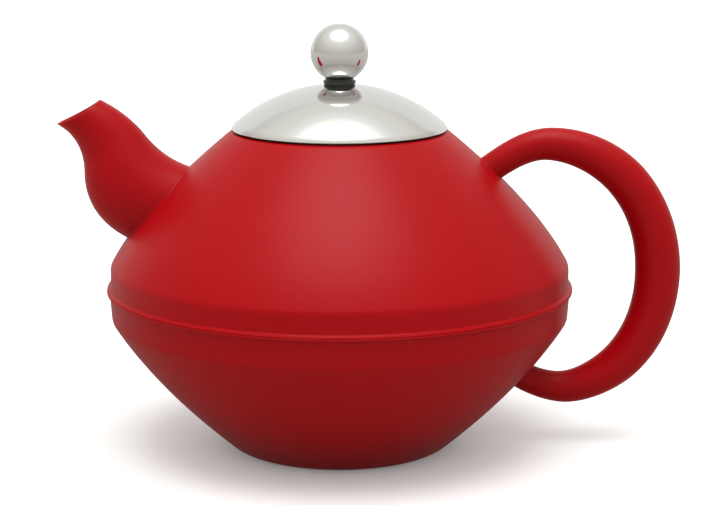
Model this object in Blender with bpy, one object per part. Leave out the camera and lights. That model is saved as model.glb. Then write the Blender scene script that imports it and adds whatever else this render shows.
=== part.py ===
"""Double-walled pressed-steel teapot with a lift-off lid and a lift-out infuser.

Frame: origin on the pot's axis in the resting plane, +Z up, spout towards -X, handle towards +X.
Sizes below are in millimetres and become metres where a shape is made.
"""

import math

import bmesh
import bpy
from mathutils import Vector

MM = 0.001
GAP = 0.3  # air left between pieces that are welded, screwed or resting on each other
EDGE = 0.15  # bevel on the edge of a flange or ring

# Pressed sheet
SHEET = 0.7
INSULATION = 8.0  # from the outer shell's face to the brewing vessel's

# Outer shells: radius, height
MOUTH_LEDGE_RADIUS = 41.0
MOUTH_LEDGE_HEIGHT = 137.0
CONE_TOP = (46.2, 137.0)
UPPER_BOW = (84.6, 105.4)
UPPER_CORNER = (98.2, 79.7)
SEAM_RADIUS = 100.0
SEAM_HEIGHT = 69.8
SEAM_FLANGE = 0.65
LOWER_WALL_TOP = (98.85, 69.0)
LOWER_CORNER = (98.0, 57.2)
LOWER_BOW = (80.5, 28.9)
BASE_CORNER = (45.9, 0.0)
CONE_TOP_ROUND = 2.5
UPPER_ROUND = 5.5
LOWER_ROUND = 4.5
BASE_ROUND = 10.0

# Brewing vessel
NECK_RADIUS = 40.2
NECK_ROUND = 2.0
FLANGE_ROUND = 0.4
VESSEL_FLANGE_RADIUS = 42.4
VESSEL_ROUND = 6.0

# Throat between the vessel and the spout, along the spout's root axis
THROAT_RADIUS = 14.0
THROAT_INSIDE = 12.5
THROAT_OUTSIDE = 4.0

# Spout, in the plane y = 0: its lower and upper edges as pairs of cubic curves (x, z)
SPOUT_LOWER = (
    ((-91.5, 90.9), (-102.0, 96.4), (-109.2, 105.8), (-109.0, 119.2)),
    ((-109.0, 119.2), (-108.8, 129.0), (-113.4, 136.4), (-120.4, 139.8)),
)
SPOUT_UPPER = (
    ((-64.6, 121.4), (-72.0, 124.0), (-78.0, 128.5), (-83.2, 135.3)),
    ((-83.2, 135.3), (-87.0, 140.3), (-93.4, 145.9), (-101.8, 150.1)),
)
SPOUT_ROOT_DEPTH = 9.0  # how far the root is made into the body before it is trimmed
SPOUT_ROUNDNESS = 0.88  # half-width over half-height of a section
SPOUT_WALL = 0.8

# Handle centre line in the plane y = 0, as cubic curves of (x, z, tube radius)
HANDLE_LINE = (
    ((62.0, 118.8, 6.05), (70.0, 124.5, 6.1), (79.0, 131.1, 6.35), (89.0, 131.1, 6.95)),
    ((89.0, 131.1, 6.95), (100.4, 131.1, 7.5), (115.9, 125.2, 8.7), (125.6, 112.1, 9.0)),
    ((125.6, 112.1, 9.0), (133.9, 100.9, 9.25), (137.1, 88.0, 9.6), (137.1, 75.7, 9.7)),
    ((137.1, 75.7, 9.7), (137.1, 61.0, 9.5), (132.5, 46.3, 9.25), (121.8, 35.8, 8.6)),
    ((121.8, 35.8, 8.6), (115.3, 29.5, 8.15), (105.0, 24.3, 7.3), (97.0, 24.3, 6.85)),
    ((97.0, 24.3, 6.85), (89.0, 24.3, 6.2), (80.0, 28.2, 5.9), (73.0, 33.2, 5.8)),
)
HANDLE_WALL = 1.0

# Lid: a spherical cap of sheet with an upright cut edge
DOME_RADIUS = 68.0
DOME_CENTRE = 88.85
LID_RADIUS = 45.85
LID_BEND = ((44.6, 140.18), (45.3, 139.57), (45.85, 138.1))  # the rim turns down more steeply
LID_RIM_FOOT = 137.85
LID_SHEET = 0.8
LID_HOLE = 2.5
COLLAR_RADIUS = 36.8
COLLAR_FOOT = 128.0
COLLAR_SHEET = 0.6
COLLAR_FLANGE_RADIUS = 43.0
COLLAR_FLANGE_FOOT = 139.1
COLLAR_ROUND = 0.6

# Knob
BALL_RADIUS = 12.3
BALL_CENTRE = 170.05
BALL_SEAT = 159.4
BALL_BORE = 2.25
BALL_BORE_TOP = 168.0
SPACER_RADIUS = 6.9
SPACER_NECK_RADIUS = 6.0
GASKET_TOP = 157.4
BUSH_RING_TOP = 158.5
SCREW_RADIUS = 1.9
SCREW_TOP = 167.0
SCREW_TIP = 0.4
SCREW_HEAD_RADIUS = 3.8
SCREW_HEAD = (150.5, 152.9)  # foot, top
SCREW_HEAD_ROUND = 1.2
SCREW_SLOT = (1.0, 1.0)  # width, depth
SPRING_WASHER = (2.3, 3.7, 153.2, 154.0)  # inner radius, outer radius, foot, top
WASHER = (2.3, 6.0, 154.3, 155.1)

# Infuser
INFUSER_RIM_RADIUS = 42.4
INFUSER_RIM_FOOT = 138.2
INFUSER_SKIRT_RADIUS = 39.2
INFUSER_SKIRT_FOOT = 130.0
INFUSER_RADIUS = 38.2
INFUSER_TOP = 136.5
INFUSER_FOOT = 42.9
INFUSER_FLOOR = 42.3
INFUSER_FLOOR_RADIUS = 37.3
INFUSER_FLOOR_LIP = 47.0
INFUSER_SHEET = 0.5
INFUSER_FLOOR_ROUND = 1.5

# Facets round a full turn
BODY_FACETS = 32
SMALL_FACETS = 16

# Straight runs along a curve, and facets round a half section
CONE_STEPS = 5
SPOUT_STEPS = 4
HANDLE_STEPS = 3
DOME_STEPS = 7
BALL_STEPS = 10
SPOUT_FACETS = 8
HANDLE_FACETS = 5
MERGE_DISTANCE = 0.0001
SMOOTH_ANGLE = 35.0  # degrees; a sharper edge is shaded as one


# Plain geometry -------------------------------------------------------------------------------


def bezier(controls, steps):
    """Points along a Bezier curve of any degree, both ends included."""
    points = []
    for step in range(steps + 1):
        t = step / steps
        row = [Vector(point) for point in controls]
        while len(row) > 1:
            row = [a.lerp(b, t) for a, b in zip(row, row[1:])]
        points.append(tuple(row[0]))
    return points


def rounded(before, corner, after, radius, steps):
    """An arc that rounds a corner, tangent to the lines from it to its two neighbours."""
    corner = Vector(corner)
    back = (Vector(before) - corner).normalized()
    ahead = (Vector(after) - corner).normalized()
    half_angle = back.angle(ahead) / 2
    centre = corner + (back + ahead).normalized() * (radius / math.sin(half_angle))
    start = corner + back * (radius / math.tan(half_angle)) - centre
    end = corner + ahead * (radius / math.tan(half_angle)) - centre
    turns = [start.slerp(end, step / steps).normalized() for step in range(steps + 1)]
    return [tuple(centre + turn * radius) for turn in turns]


def parallel(path, distance):
    """The path moved to the right of its own direction, with its corners mitred."""
    points = [Vector(point) for point in path]
    moved = []
    for index, point in enumerate(points):
        sides = []
        for a, b in ((index - 1, index), (index, index + 1)):
            if a >= 0 and b < len(points):
                run = (points[b] - points[a]).normalized()
                sides.append(Vector((run.y, -run.x)))
        side = sum(sides, Vector((0, 0))).normalized()
        moved.append(tuple(point + side * (distance / side.dot(sides[0]))))
    return moved


def sheet(path, thickness):
    """The closed outline of a sheet whose outer side is the path, read top to bottom."""
    return list(path) + parallel(path, thickness)[::-1]


def arc(centre_height, radius, start_radius, end_radius, steps):
    """Upper stretch of a circle centred on the axis, from one distance off the axis to another."""
    start = math.asin(start_radius / radius)
    end = math.asin(end_radius / radius)
    angles = [start + (end - start) * step / steps for step in range(steps + 1)]
    return [(radius * math.sin(a), centre_height + radius * math.cos(a)) for a in angles]


# Blender objects ------------------------------------------------------------------------------


def clear_scene():
    for old in list(bpy.data.objects):
        bpy.data.objects.remove(old, do_unlink=True)


def principled(name, colour, roughness, metallic):
    made = bpy.data.materials.new(name)
    made.use_nodes = True
    shader = made.node_tree.nodes["Principled BSDF"]
    shader.inputs["Base Color"].default_value = (*colour, 1.0)
    shader.inputs["Roughness"].default_value = roughness
    shader.inputs["Metallic"].default_value = metallic
    made.diffuse_color = (*colour, 1.0)
    return made


def finish(name, bm, finish_of=None):
    """Turns a bmesh in millimetres into a named object in metres."""
    bmesh.ops.recalc_face_normals(bm, faces=bm.faces)
    bmesh.ops.scale(bm, vec=(MM, MM, MM), verts=bm.verts)
    mesh = bpy.data.meshes.new(name)
    bm.to_mesh(mesh)
    bm.free()
    mesh.shade_smooth()
    mesh.set_sharp_from_angle(angle=math.radians(SMOOTH_ANGLE))
    made = bpy.data.objects.new(name, mesh)
    bpy.context.collection.objects.link(made)
    if finish_of:
        mesh.materials.append(finish_of(name))
    return made


def turned(name, outline, finish_of, facets):
    """A solid of revolution about Z from a closed outline of (radius, height)."""
    bm = bmesh.new()
    verts = [bm.verts.new((radius, 0, height)) for radius, height in outline]
    for a, b in zip(verts, verts[1:] + verts[:1]):
        if a.co.x > 0 or b.co.x > 0:
            bm.edges.new((a, b))
    profile = list(bm.verts) + list(bm.edges)
    bmesh.ops.spin(
        bm, geom=profile, cent=(0, 0, 0), axis=(0, 0, 1), angle=math.tau, steps=facets, use_merge=True
    )
    bmesh.ops.remove_doubles(bm, verts=bm.verts, dist=MERGE_DISTANCE)
    return finish(name, bm, finish_of)


def half_tube(name, sections, wall, side, steps, finish_of):
    """One of the two pressings of a tube that is split along the plane y = 0.

    A section is its centre (x, z), the unit direction (x, z) across it, its half-height and its
    half-width. side is -1 for the front half and 1 for the back half.
    """
    bm = bmesh.new()
    angles = [math.pi * (step / steps - 0.5) for step in range(steps + 1)]
    rings = []
    for centre, across, half_height, half_width in sections:
        ring = []
        for inset, turn in ((0, angles), (wall, angles[::-1])):
            for angle in turn:
                along = (half_height - inset) * math.sin(angle)
                out = (half_width - inset) * math.cos(angle)
                place = Vector(centre) + Vector(across) * along
                ring.append(bm.verts.new((place.x, side * (out + GAP / 2), place.y)))
        rings.append(ring)
    for ring, following in zip(rings, rings[1:]):
        for index in range(len(ring)):
            after = (index + 1) % len(ring)
            bm.faces.new((ring[index], ring[after], following[after], following[index]))
    for end in (rings[0], rings[-1]):
        for index in range(steps):
            mirror = len(end) - 1 - index
            bm.faces.new((end[index], end[index + 1], end[mirror - 1], end[mirror]))
    return finish(name, bm, finish_of)


def cutter(made):
    """Marks an object as a cutter, which is not part of the pot."""
    made.hide_render = True
    made.display_type = "WIRE"
    return made


def cut(target, tool):
    modifier = target.modifiers.new(tool.name, "BOOLEAN")
    modifier.operation = "DIFFERENCE"
    modifier.solver = "EXACT"
    modifier.object = tool


# Finishes -------------------------------------------------------------------------------------


def red_coating(name):
    return principled(name, (0.31, 0.002, 0.004), 0.38, 0.0)


def polished_steel(name):
    return principled(name, (0.65, 0.65, 0.64), 0.05, 1.0)


def satin_steel(name):
    return principled(name, (0.62, 0.61, 0.60), 0.32, 1.0)


def black_plastic(name):
    return principled(name, (0.02, 0.018, 0.018), 0.35, 0.0)


def black_silicone(name):
    return principled(name, (0.025, 0.023, 0.022), 0.6, 0.0)


# Profiles of the two walls, each read down its outer side ---------------------------------------


def upper_path(top, bow, corner, foot, top_round, corner_round):
    """Mouth end, bowed cone, rounded shoulder and upright wall."""
    cone = bezier((top[-1], bow, corner), CONE_STEPS)
    start = rounded(top[-2], top[-1], cone[1], top_round, 2)
    shoulder = rounded(cone[-2], corner, foot, corner_round, 2)
    return list(top[:-1]) + start + cone[1:-1] + shoulder + [foot]


def lower_path(wall_top, corner, bow, base, corner_round, base_round):
    """Upright wall, rounded corner, bowed cone and rounded edge of the flat base."""
    cone = bezier((corner, bow, base), CONE_STEPS)
    edge = rounded(wall_top, corner, cone[1], corner_round, 2)
    foot = rounded(cone[-2], base, (0.0, base[1]), base_round, 3)
    return [wall_top] + edge + cone[1:-1] + foot + [(0.0, base[1])]


def outer_upper_path():
    ledge = [(MOUTH_LEDGE_RADIUS, MOUTH_LEDGE_HEIGHT), CONE_TOP]
    foot = (UPPER_CORNER[0], SEAM_HEIGHT + GAP / 2 + SEAM_FLANGE)
    return upper_path(ledge, UPPER_BOW, UPPER_CORNER, foot, CONE_TOP_ROUND, UPPER_ROUND)


def outer_lower_path():
    return lower_path(LOWER_WALL_TOP, LOWER_CORNER, LOWER_BOW, BASE_CORNER, LOWER_ROUND, BASE_ROUND)


def vessel_upper_path():
    cone_top, bow, corner, foot = parallel(
        (CONE_TOP, UPPER_BOW, UPPER_CORNER, (UPPER_CORNER[0], SEAM_HEIGHT + GAP / 2)), INSULATION
    )
    flange = (VESSEL_FLANGE_RADIUS, MOUTH_LEDGE_HEIGHT + GAP)
    neck = [(NECK_RADIUS, flange[1]), (NECK_RADIUS, cone_top[1])]
    shoulder = upper_path(neck, bow, corner, foot, NECK_ROUND, VESSEL_ROUND)
    return [flange] + rounded(flange, neck[0], neck[1], FLANGE_ROUND, 2) + shoulder[1:]


def vessel_lower_path():
    wall_top, corner, bow, base, _ = parallel(
        (LOWER_WALL_TOP, LOWER_CORNER, LOWER_BOW, BASE_CORNER, (0.0, 0.0)), INSULATION
    )
    wall_top = (wall_top[0], SEAM_HEIGHT - GAP / 2)
    return lower_path(wall_top, corner, bow, base, VESSEL_ROUND, VESSEL_ROUND)


# Sub-parts ------------------------------------------------------------------------------------


def seam_flange(foot, top):
    """The flange's edge in section, from its top to its foot."""
    return [
        (SEAM_RADIUS - EDGE, top),
        (SEAM_RADIUS, top - EDGE),
        (SEAM_RADIUS, foot + EDGE),
        (SEAM_RADIUS - EDGE, foot),
    ]


def make_outer_upper_shell():
    path = outer_upper_path()
    foot = SEAM_HEIGHT + GAP / 2
    inside = parallel(path, SHEET)
    inside[-1] = (inside[-1][0], foot)
    outline = path + seam_flange(foot, path[-1][1]) + inside[::-1]
    return turned("outer_upper_shell", outline, red_coating, BODY_FACETS)


def make_outer_lower_shell():
    path = outer_lower_path()
    top = SEAM_HEIGHT - GAP / 2
    inside = parallel(path, SHEET)
    inside[0] = (inside[0][0], top)
    inside[-1] = (0.0, inside[-1][1])
    outline = seam_flange(LOWER_WALL_TOP[1], top) + path + inside[::-1]
    return turned("outer_lower_shell", outline, red_coating, BODY_FACETS)


def make_vessel():
    upper = turned("inner_upper_shell", sheet(vessel_upper_path(), SHEET), satin_steel, BODY_FACETS)
    path = vessel_lower_path()
    inside = parallel(path, SHEET)
    inside[-1] = (0.0, inside[-1][1])
    turned("inner_lower_shell", path + inside[::-1], satin_steel, BODY_FACETS)
    return upper


def body_cutter():
    """The whole outer body, grown by the gap: trims what is welded onto it."""
    path = outer_upper_path()[:-1] + outer_lower_path()[1:]
    grown = parallel(path, -GAP)
    outline = [(0.0, grown[0][1])] + grown[:-1] + [(0.0, grown[-1][1])]
    return cutter(turned("body_cutter", outline, None, BODY_FACETS))


def throat(name, radius, hole, finish_of):
    """A tube, or a rod where hole is 0, along the normal of the upper cone at the spout's root."""
    low, high = Vector(SPOUT_LOWER[0][0]), Vector(SPOUT_UPPER[0][0])
    root = (low + high) / 2
    slope = (high - low).normalized()
    outward = Vector((-slope.y, slope.x))
    length = THROAT_INSIDE + THROAT_OUTSIDE
    outline = [(radius, length), (radius, 0.0), (hole, 0.0), (hole, length)]
    made = turned(name, outline, finish_of, SMALL_FACETS)
    start = (root - outward * THROAT_INSIDE) * MM
    made.location = (start.x, 0, start.y)
    made.rotation_euler = (0, math.atan2(outward.x, outward.y), 0)
    return made


def spout_sections():
    sections = []
    edges = zip(SPOUT_LOWER, SPOUT_UPPER)
    for number, (lower, upper) in enumerate(edges):
        pairs = list(zip(bezier(lower, SPOUT_STEPS), bezier(upper, SPOUT_STEPS)))
        for low, high in pairs[min(number, 1):]:
            low, high = Vector(low), Vector(high)
            half = (high - low).length / 2
            across = (high - low).normalized()
            sections.append(((low + high) / 2, across, half, half * SPOUT_ROUNDNESS))
    centre, across, half_height, half_width = sections[0]
    inward = Vector((across.y, -across.x)) * SPOUT_ROOT_DEPTH
    return [(centre + inward, across, half_height, half_width)] + sections


def handle_sections():
    line = []
    for number, curve in enumerate(HANDLE_LINE):
        line += bezier(curve, HANDLE_STEPS)[min(number, 1):]
    sections = []
    for index, (x, z, radius) in enumerate(line):
        before = line[max(index - 1, 0)]
        after = line[min(index + 1, len(line) - 1)]
        along = Vector((after[0] - before[0], after[1] - before[1])).normalized()
        sections.append((Vector((x, z)), Vector((-along.y, along.x)), radius, radius))
    return sections


def make_welded_tubes(trim):
    halves = (("front", -1), ("back", 1))
    for side_name, side in halves:
        spout = half_tube(
            f"spout_{side_name}_half", spout_sections(), SPOUT_WALL, side, SPOUT_FACETS, red_coating
        )
        handle = half_tube(
            f"handle_{side_name}_half", handle_sections(), HANDLE_WALL, side, HANDLE_FACETS, red_coating
        )
        cut(spout, trim)
        cut(handle, trim)


def make_lid():
    edge = arc(DOME_CENTRE, DOME_RADIUS, LID_HOLE, LID_BEND[0][0], DOME_STEPS)
    path = edge[:-1] + bezier(LID_BEND, 2) + [(LID_RADIUS, LID_RIM_FOOT)]
    turned("lid_dome", sheet(path, LID_SHEET), polished_steel, BODY_FACETS)

    corner = (COLLAR_RADIUS, COLLAR_FLANGE_FOOT)
    flange = (COLLAR_FLANGE_RADIUS, COLLAR_FLANGE_FOOT)
    foot = (COLLAR_RADIUS, COLLAR_FOOT)
    path = [flange] + rounded(flange, corner, foot, COLLAR_ROUND, 2) + [foot]
    turned("lid_collar", sheet(path, COLLAR_SHEET), satin_steel, BODY_FACETS)


def ring(name, inner, outer, foot, top, finish_of):
    outline = [(inner, top), (outer, top), (outer, foot), (inner, foot)]
    return turned(name, outline, finish_of, SMALL_FACETS)


def make_knob():
    seat_angle = math.acos((BALL_SEAT - BALL_CENTRE) / BALL_RADIUS)
    ball = []
    for step in range(BALL_STEPS + 1):
        angle = seat_angle * step / BALL_STEPS
        ball.append((BALL_RADIUS * math.sin(angle), BALL_CENTRE + BALL_RADIUS * math.cos(angle)))
    bore = [(BALL_BORE, BALL_SEAT), (BALL_BORE, BALL_BORE_TOP), (0.0, BALL_BORE_TOP + 1.0)]
    turned("knob_ball", ball + bore, polished_steel, SMALL_FACETS)

    hole = SPRING_WASHER[0]
    neck_top = BALL_SEAT - GAP
    bush_foot = GASKET_TOP + GAP
    bush = [
        (hole, neck_top),
        (SPACER_NECK_RADIUS, neck_top),
        (SPACER_NECK_RADIUS, BUSH_RING_TOP),
        (SPACER_RADIUS - EDGE, BUSH_RING_TOP),
        (SPACER_RADIUS, BUSH_RING_TOP - EDGE),
        (SPACER_RADIUS, bush_foot + EDGE),
        (SPACER_RADIUS - EDGE, bush_foot),
        (hole, bush_foot),
    ]
    turned("knob_bush", bush, black_plastic, SMALL_FACETS)

    seat = arc(DOME_CENTRE, DOME_RADIUS + GAP, hole, SPACER_RADIUS, 3)[::-1]
    gasket = [(hole, GASKET_TOP), (SPACER_RADIUS - EDGE, GASKET_TOP), (SPACER_RADIUS, GASKET_TOP - EDGE)]
    turned("knob_gasket", gasket + seat, black_silicone, SMALL_FACETS)

    ring("knob_washer", *WASHER, satin_steel)
    ring("knob_spring_washer", *SPRING_WASHER, satin_steel)
    make_screw()


def make_screw():
    head_foot, head_top = SCREW_HEAD
    rim = (SCREW_HEAD_RADIUS, head_top)
    corner = (SCREW_HEAD_RADIUS, head_foot)
    crown = rounded(rim, corner, (0.0, head_foot), SCREW_HEAD_ROUND, 3)
    outline = [
        (0.0, SCREW_TOP),
        (SCREW_RADIUS - SCREW_TIP, SCREW_TOP),
        (SCREW_RADIUS, SCREW_TOP - SCREW_TIP),
        (SCREW_RADIUS, head_top),
        rim,
        *crown,
        (0.0, head_foot),
    ]
    screw = turned("knob_screw", outline, satin_steel, SMALL_FACETS)
    width, depth = SCREW_SLOT
    bm = bmesh.new()
    bmesh.ops.create_cube(bm, size=1.0)
    bmesh.ops.scale(bm, vec=(3 * SCREW_HEAD_RADIUS, width, 2 * depth), verts=bm.verts)
    bmesh.ops.translate(bm, vec=(0, 0, head_foot), verts=bm.verts)
    cut(screw, cutter(finish("screw_slot_cutter", bm)))


def make_infuser():
    corner = (INFUSER_SKIRT_RADIUS, INFUSER_RIM_FOOT)
    flange = (INFUSER_RIM_RADIUS, INFUSER_RIM_FOOT)
    foot = (INFUSER_SKIRT_RADIUS, INFUSER_SKIRT_FOOT)
    path = [flange] + rounded(flange, corner, foot, COLLAR_ROUND, 2) + [foot]
    turned("infuser_rim", sheet(path, COLLAR_SHEET), satin_steel, BODY_FACETS)

    wall = [(INFUSER_RADIUS, INFUSER_TOP), (INFUSER_RADIUS, INFUSER_FOOT)]
    turned("infuser_wall", sheet(wall, INFUSER_SHEET), satin_steel, BODY_FACETS)

    lip = (INFUSER_FLOOR_RADIUS, INFUSER_FLOOR_LIP)
    corner = (INFUSER_FLOOR_RADIUS, INFUSER_FLOOR)
    path = [lip] + rounded(lip, corner, (0.0, INFUSER_FLOOR), INFUSER_FLOOR_ROUND, 3)
    path.append((0.0, INFUSER_FLOOR))
    inside = parallel(path, INFUSER_SHEET)
    inside[-1] = (0.0, inside[-1][1])
    turned("infuser_floor", path + inside[::-1], satin_steel, BODY_FACETS)


def main():
    clear_scene()
    upper_shell = make_outer_upper_shell()
    make_outer_lower_shell()
    vessel = make_vessel()
    drill = cutter(throat("throat_cutter", THROAT_RADIUS + GAP, 0.0, None))
    cut(upper_shell, drill)
    cut(vessel, drill)
    throat("throat_tube", THROAT_RADIUS, THROAT_RADIUS - SHEET, satin_steel)
    make_welded_tubes(body_cutter())
    make_lid()
    make_knob()
    make_infuser()


main()
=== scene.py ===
"""Looks of the double-walled red teapot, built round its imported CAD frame.

Profile sizes are in millimetres, as the pot is drawn, and become metres in mesh_object().
The pot stands on z = 0 with its axis on Z, its spout towards -X and its handle towards +X.
"""

import math

import bpy
import bmesh
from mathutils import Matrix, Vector


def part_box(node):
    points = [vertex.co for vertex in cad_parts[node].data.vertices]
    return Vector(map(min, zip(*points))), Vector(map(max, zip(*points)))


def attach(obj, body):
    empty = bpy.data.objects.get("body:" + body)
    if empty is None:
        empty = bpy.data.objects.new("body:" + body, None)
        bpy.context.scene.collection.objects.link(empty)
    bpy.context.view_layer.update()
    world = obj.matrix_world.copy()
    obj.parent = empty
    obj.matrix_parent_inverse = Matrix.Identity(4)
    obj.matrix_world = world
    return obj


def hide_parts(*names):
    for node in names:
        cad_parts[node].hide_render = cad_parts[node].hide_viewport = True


MM = 0.001
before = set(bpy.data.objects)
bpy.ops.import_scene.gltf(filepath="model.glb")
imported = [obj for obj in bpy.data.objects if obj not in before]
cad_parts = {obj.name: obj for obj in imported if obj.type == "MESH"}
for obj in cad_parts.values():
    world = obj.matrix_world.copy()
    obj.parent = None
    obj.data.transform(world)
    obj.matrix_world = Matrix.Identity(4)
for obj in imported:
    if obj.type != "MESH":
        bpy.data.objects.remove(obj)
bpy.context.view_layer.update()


# Sizes read from the frame, in millimetres ------------------------------------------------------


def low(node):
    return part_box(node)[0] / MM


def high(node):
    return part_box(node)[1] / MM


SEAM_RADIUS = high("outer_upper_shell").x
UPPER_FLANGE_FOOT = low("outer_upper_shell").z
LOWER_FLANGE_TOP = high("outer_lower_shell").z
LEDGE_HEIGHT = high("outer_upper_shell").z
LID_RADIUS = high("lid_dome").x
LID_FOOT = low("lid_dome").z
BALL_RADIUS = 12.3  # a true ball, where the frame's is faceted
BALL_CENTRE = high("knob_ball").z - BALL_RADIUS
BALL_SEAT = low("knob_ball").z
SPACER_RADIUS = high("knob_bush").x
NECK_TOP = high("knob_bush").z
GASKET_TOP = high("knob_gasket").z
SCREW_HEAD_RADIUS = high("knob_screw").x
SCREW_END = high("knob_screw").z
SCREW_FOOT = low("knob_screw").z
COLLAR_FOOT = low("lid_collar").z
COLLAR_TOP = high("lid_collar").z
COLLAR_FLANGE_RADIUS = high("lid_collar").x
VESSEL_FLANGE_TOP = high("inner_upper_shell").z
VESSEL_JOINT = low("inner_upper_shell").z
VESSEL_RADIUS = high("inner_upper_shell").x
VESSEL_LOWER_TOP = high("inner_lower_shell").z
VESSEL_FOOT = low("inner_lower_shell").z
INFUSER_RIM_RADIUS = high("infuser_rim").x
INFUSER_RIM_TOP = high("infuser_rim").z
INFUSER_SKIRT_FOOT = low("infuser_rim").z
INFUSER_RADIUS = high("infuser_wall").x
INFUSER_TOP = high("infuser_wall").z
INFUSER_FOOT = low("infuser_wall").z
INFUSER_FLOOR = low("infuser_floor").z
INFUSER_FLOOR_RADIUS = high("infuser_floor").x
INFUSER_FLOOR_TOP = high("infuser_floor").z

# Outer walls: radius, height
SHEET = 0.7
SEAM_FLANGE = 0.65
UPPER_FLANGE_TOP = UPPER_FLANGE_FOOT + SEAM_FLANGE
UPPER_FLANGE_INSET = 0.15  # the upper flange stands back from the lower one
SEAM_JOINT = 0.03  # air left in the seam's joint line
FLANGE_ROUND = 0.3
LEDGE_RADIUS = 41.0
CONE_TOP = (46.2, LEDGE_HEIGHT)
CONE_TOP_ROUND = 4.5
UPPER_BOW = (84.6, 105.4)
UPPER_CORNER = (98.2, 79.7)
UPPER_ROUND = 5.5
UPPER_FILLET = 1.3
LOWER_WALL_TOP = (98.85, LOWER_FLANGE_TOP - SEAM_FLANGE)
LOWER_FILLET = 0.8
LOWER_CORNER = (98.0, 57.2)
LOWER_ROUND = 4.5
LOWER_BOW = (80.5, 28.9)
BASE_CORNER = (45.9, 0.0)
BASE_ROUND = 10.0
BASE_FLAT_RADIUS = 39.0
BASE_GROOVE = ((38.0, 0.0), (35.5, 0.6), (30.5, 0.6), (28.0, 0.0))
UPPER_CLEAR = 1.5  # cone points nearer a corner than this give way to its rounding
BASE_CLEAR = 4.5
CONE_STEPS = 48
LEDGE_STEPS = 8
LEDGE_POINTS = LEDGE_STEPS + 2  # points of upper_path() before its cone
FILLET_STEPS = 5
FILLET_POINTS = FILLET_STEPS + 1
TURN = 192  # facets round the large turned pieces
SHARP_ANGLE = 35  # degrees; a sharper edge is shaded as one

# Brewing vessel and throat
VESSEL_FLANGE_RADIUS = 42.4
VESSEL_FLANGE_ROUND = 0.4
VESSEL_NECK_RADIUS = LEDGE_RADIUS - 0.8  # passes the mouth ledge with a little air
VESSEL_NECK_ROUND = 2.0
VESSEL_ROUND = 6.0
VESSEL_CONE_STEPS = 30
THROAT_RADIUS = 14.0
THROAT_START = -12.5  # from the spout's root, along its axis
THROAT_LENGTH = 16.5
THROAT_EDGE_ROUND = 0.2
THROAT_AIR = 0.3
THROAT_DRILL = (-20.0, 30.0)  # start, length

# Lid and knob
DOME_RADIUS = 68.0
DOME_CENTRE = 88.85
LID_BEND = ((44.6, 140.18), (45.3, 139.57))
LID_SHEET = 0.8
LID_HOLE = 2.5
SKIRT_SHEET = 0.6  # the lid's collar and the infuser's rim
SKIRT_ROUND = 0.6
COLLAR_RADIUS = 36.8
BALL_BORE = (2.25, 168.0, 169.0)  # radius, end of the thread, tip of the drill
KNOB_HOLE = 2.3  # through bush, gasket and washers
BUSH_NECK_RADIUS = 6.0
BUSH_RING_TOP = 158.5
WASHER_ROUND = 0.15
SCREW_RADIUS = 1.9
SCREW_CHAMFER = 0.4
SCREW_HEAD_TOP = 152.9
SCREW_HEAD_ROUND = 1.2
SCREW_SLOT = 1.0  # both its width and its depth

# Infuser
INFUSER_SHEET = 0.5
INFUSER_SKIRT_RADIUS = 39.2
INFUSER_FLOOR_ROUND = 1.5
WALL_HOLES = (72, 26)  # round the wall, up the wall
FLOOR_HOLES = (48, 6)  # round each ring, rings
FLOOR_HOLES_FROM = 12.0
FLOOR_HOLES_TO = 34.0
HOLE_RADIUS = 0.8
HOLE_SHARE = 0.36  # most of its cell's width that a floor hole's radius takes
FLOOR_OVERLAP = 0.02

# Spout edges and handle centre line in the plane y = 0
SPOUT_LOWER = (
    ((-91.5, 90.9), (-102.0, 96.4), (-109.2, 105.8), (-109.0, 119.2)),
    ((-109.0, 119.2), (-108.8, 129.0), (-113.4, 136.4), (-120.4, 139.8)),
)
SPOUT_UPPER = (
    ((-64.6, 121.4), (-72.0, 124.0), (-78.0, 128.5), (-83.2, 135.3)),
    ((-83.2, 135.3), (-87.0, 140.3), (-93.4, 145.9), (-101.8, 150.1)),
)
SPOUT_ROUNDNESS = 0.88
SPOUT_WALL = 0.8
MOUTH_DIP = 1.2  # how far the sides of the spout's mouth are cut back
SPOUT_STEP = 2.0 / 62.0  # change of place that moves about a millimetre along the spout
SPOUT_RUN_IN = 60.0  # length of the spout below its root, for each unit of place
SPOUT_COLUMNS = 96
SPOUT_ROWS = 72
HANDLE_LINE = (
    ((62.0, 118.8, 6.05), (70.0, 124.5, 6.1), (79.0, 131.1, 6.35), (89.0, 131.1, 6.95)),
    ((89.0, 131.1, 6.95), (100.4, 131.1, 7.5), (115.9, 125.2, 8.7), (125.6, 112.1, 9.0)),
    ((125.6, 112.1, 9.0), (133.9, 100.9, 9.25), (137.1, 88.0, 9.6), (137.1, 75.7, 9.7)),
    ((137.1, 75.7, 9.7), (137.1, 61.0, 9.5), (132.5, 46.3, 9.25), (121.8, 35.8, 8.6)),
    ((121.8, 35.8, 8.6), (115.3, 29.5, 8.15), (105.0, 24.3, 7.3), (97.0, 24.3, 6.85)),
    ((97.0, 24.3, 6.85), (89.0, 24.3, 6.2), (80.0, 28.2, 5.9), (73.0, 33.2, 5.8)),
)
HANDLE_TOP_STEP = 1 / 29.0  # change of place that moves about a millimetre, at each end
HANDLE_FOOT_STEP = 1 / 26.0
HANDLE_COLUMNS = 64
HANDLE_ROWS = 220
WELD_REACH = 0.45  # how far the smoothed weld at a root spreads each way
WELD_ROWS = 6
WELD_SINK = 0.06  # how far the edge of a root is pushed into the body

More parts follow.
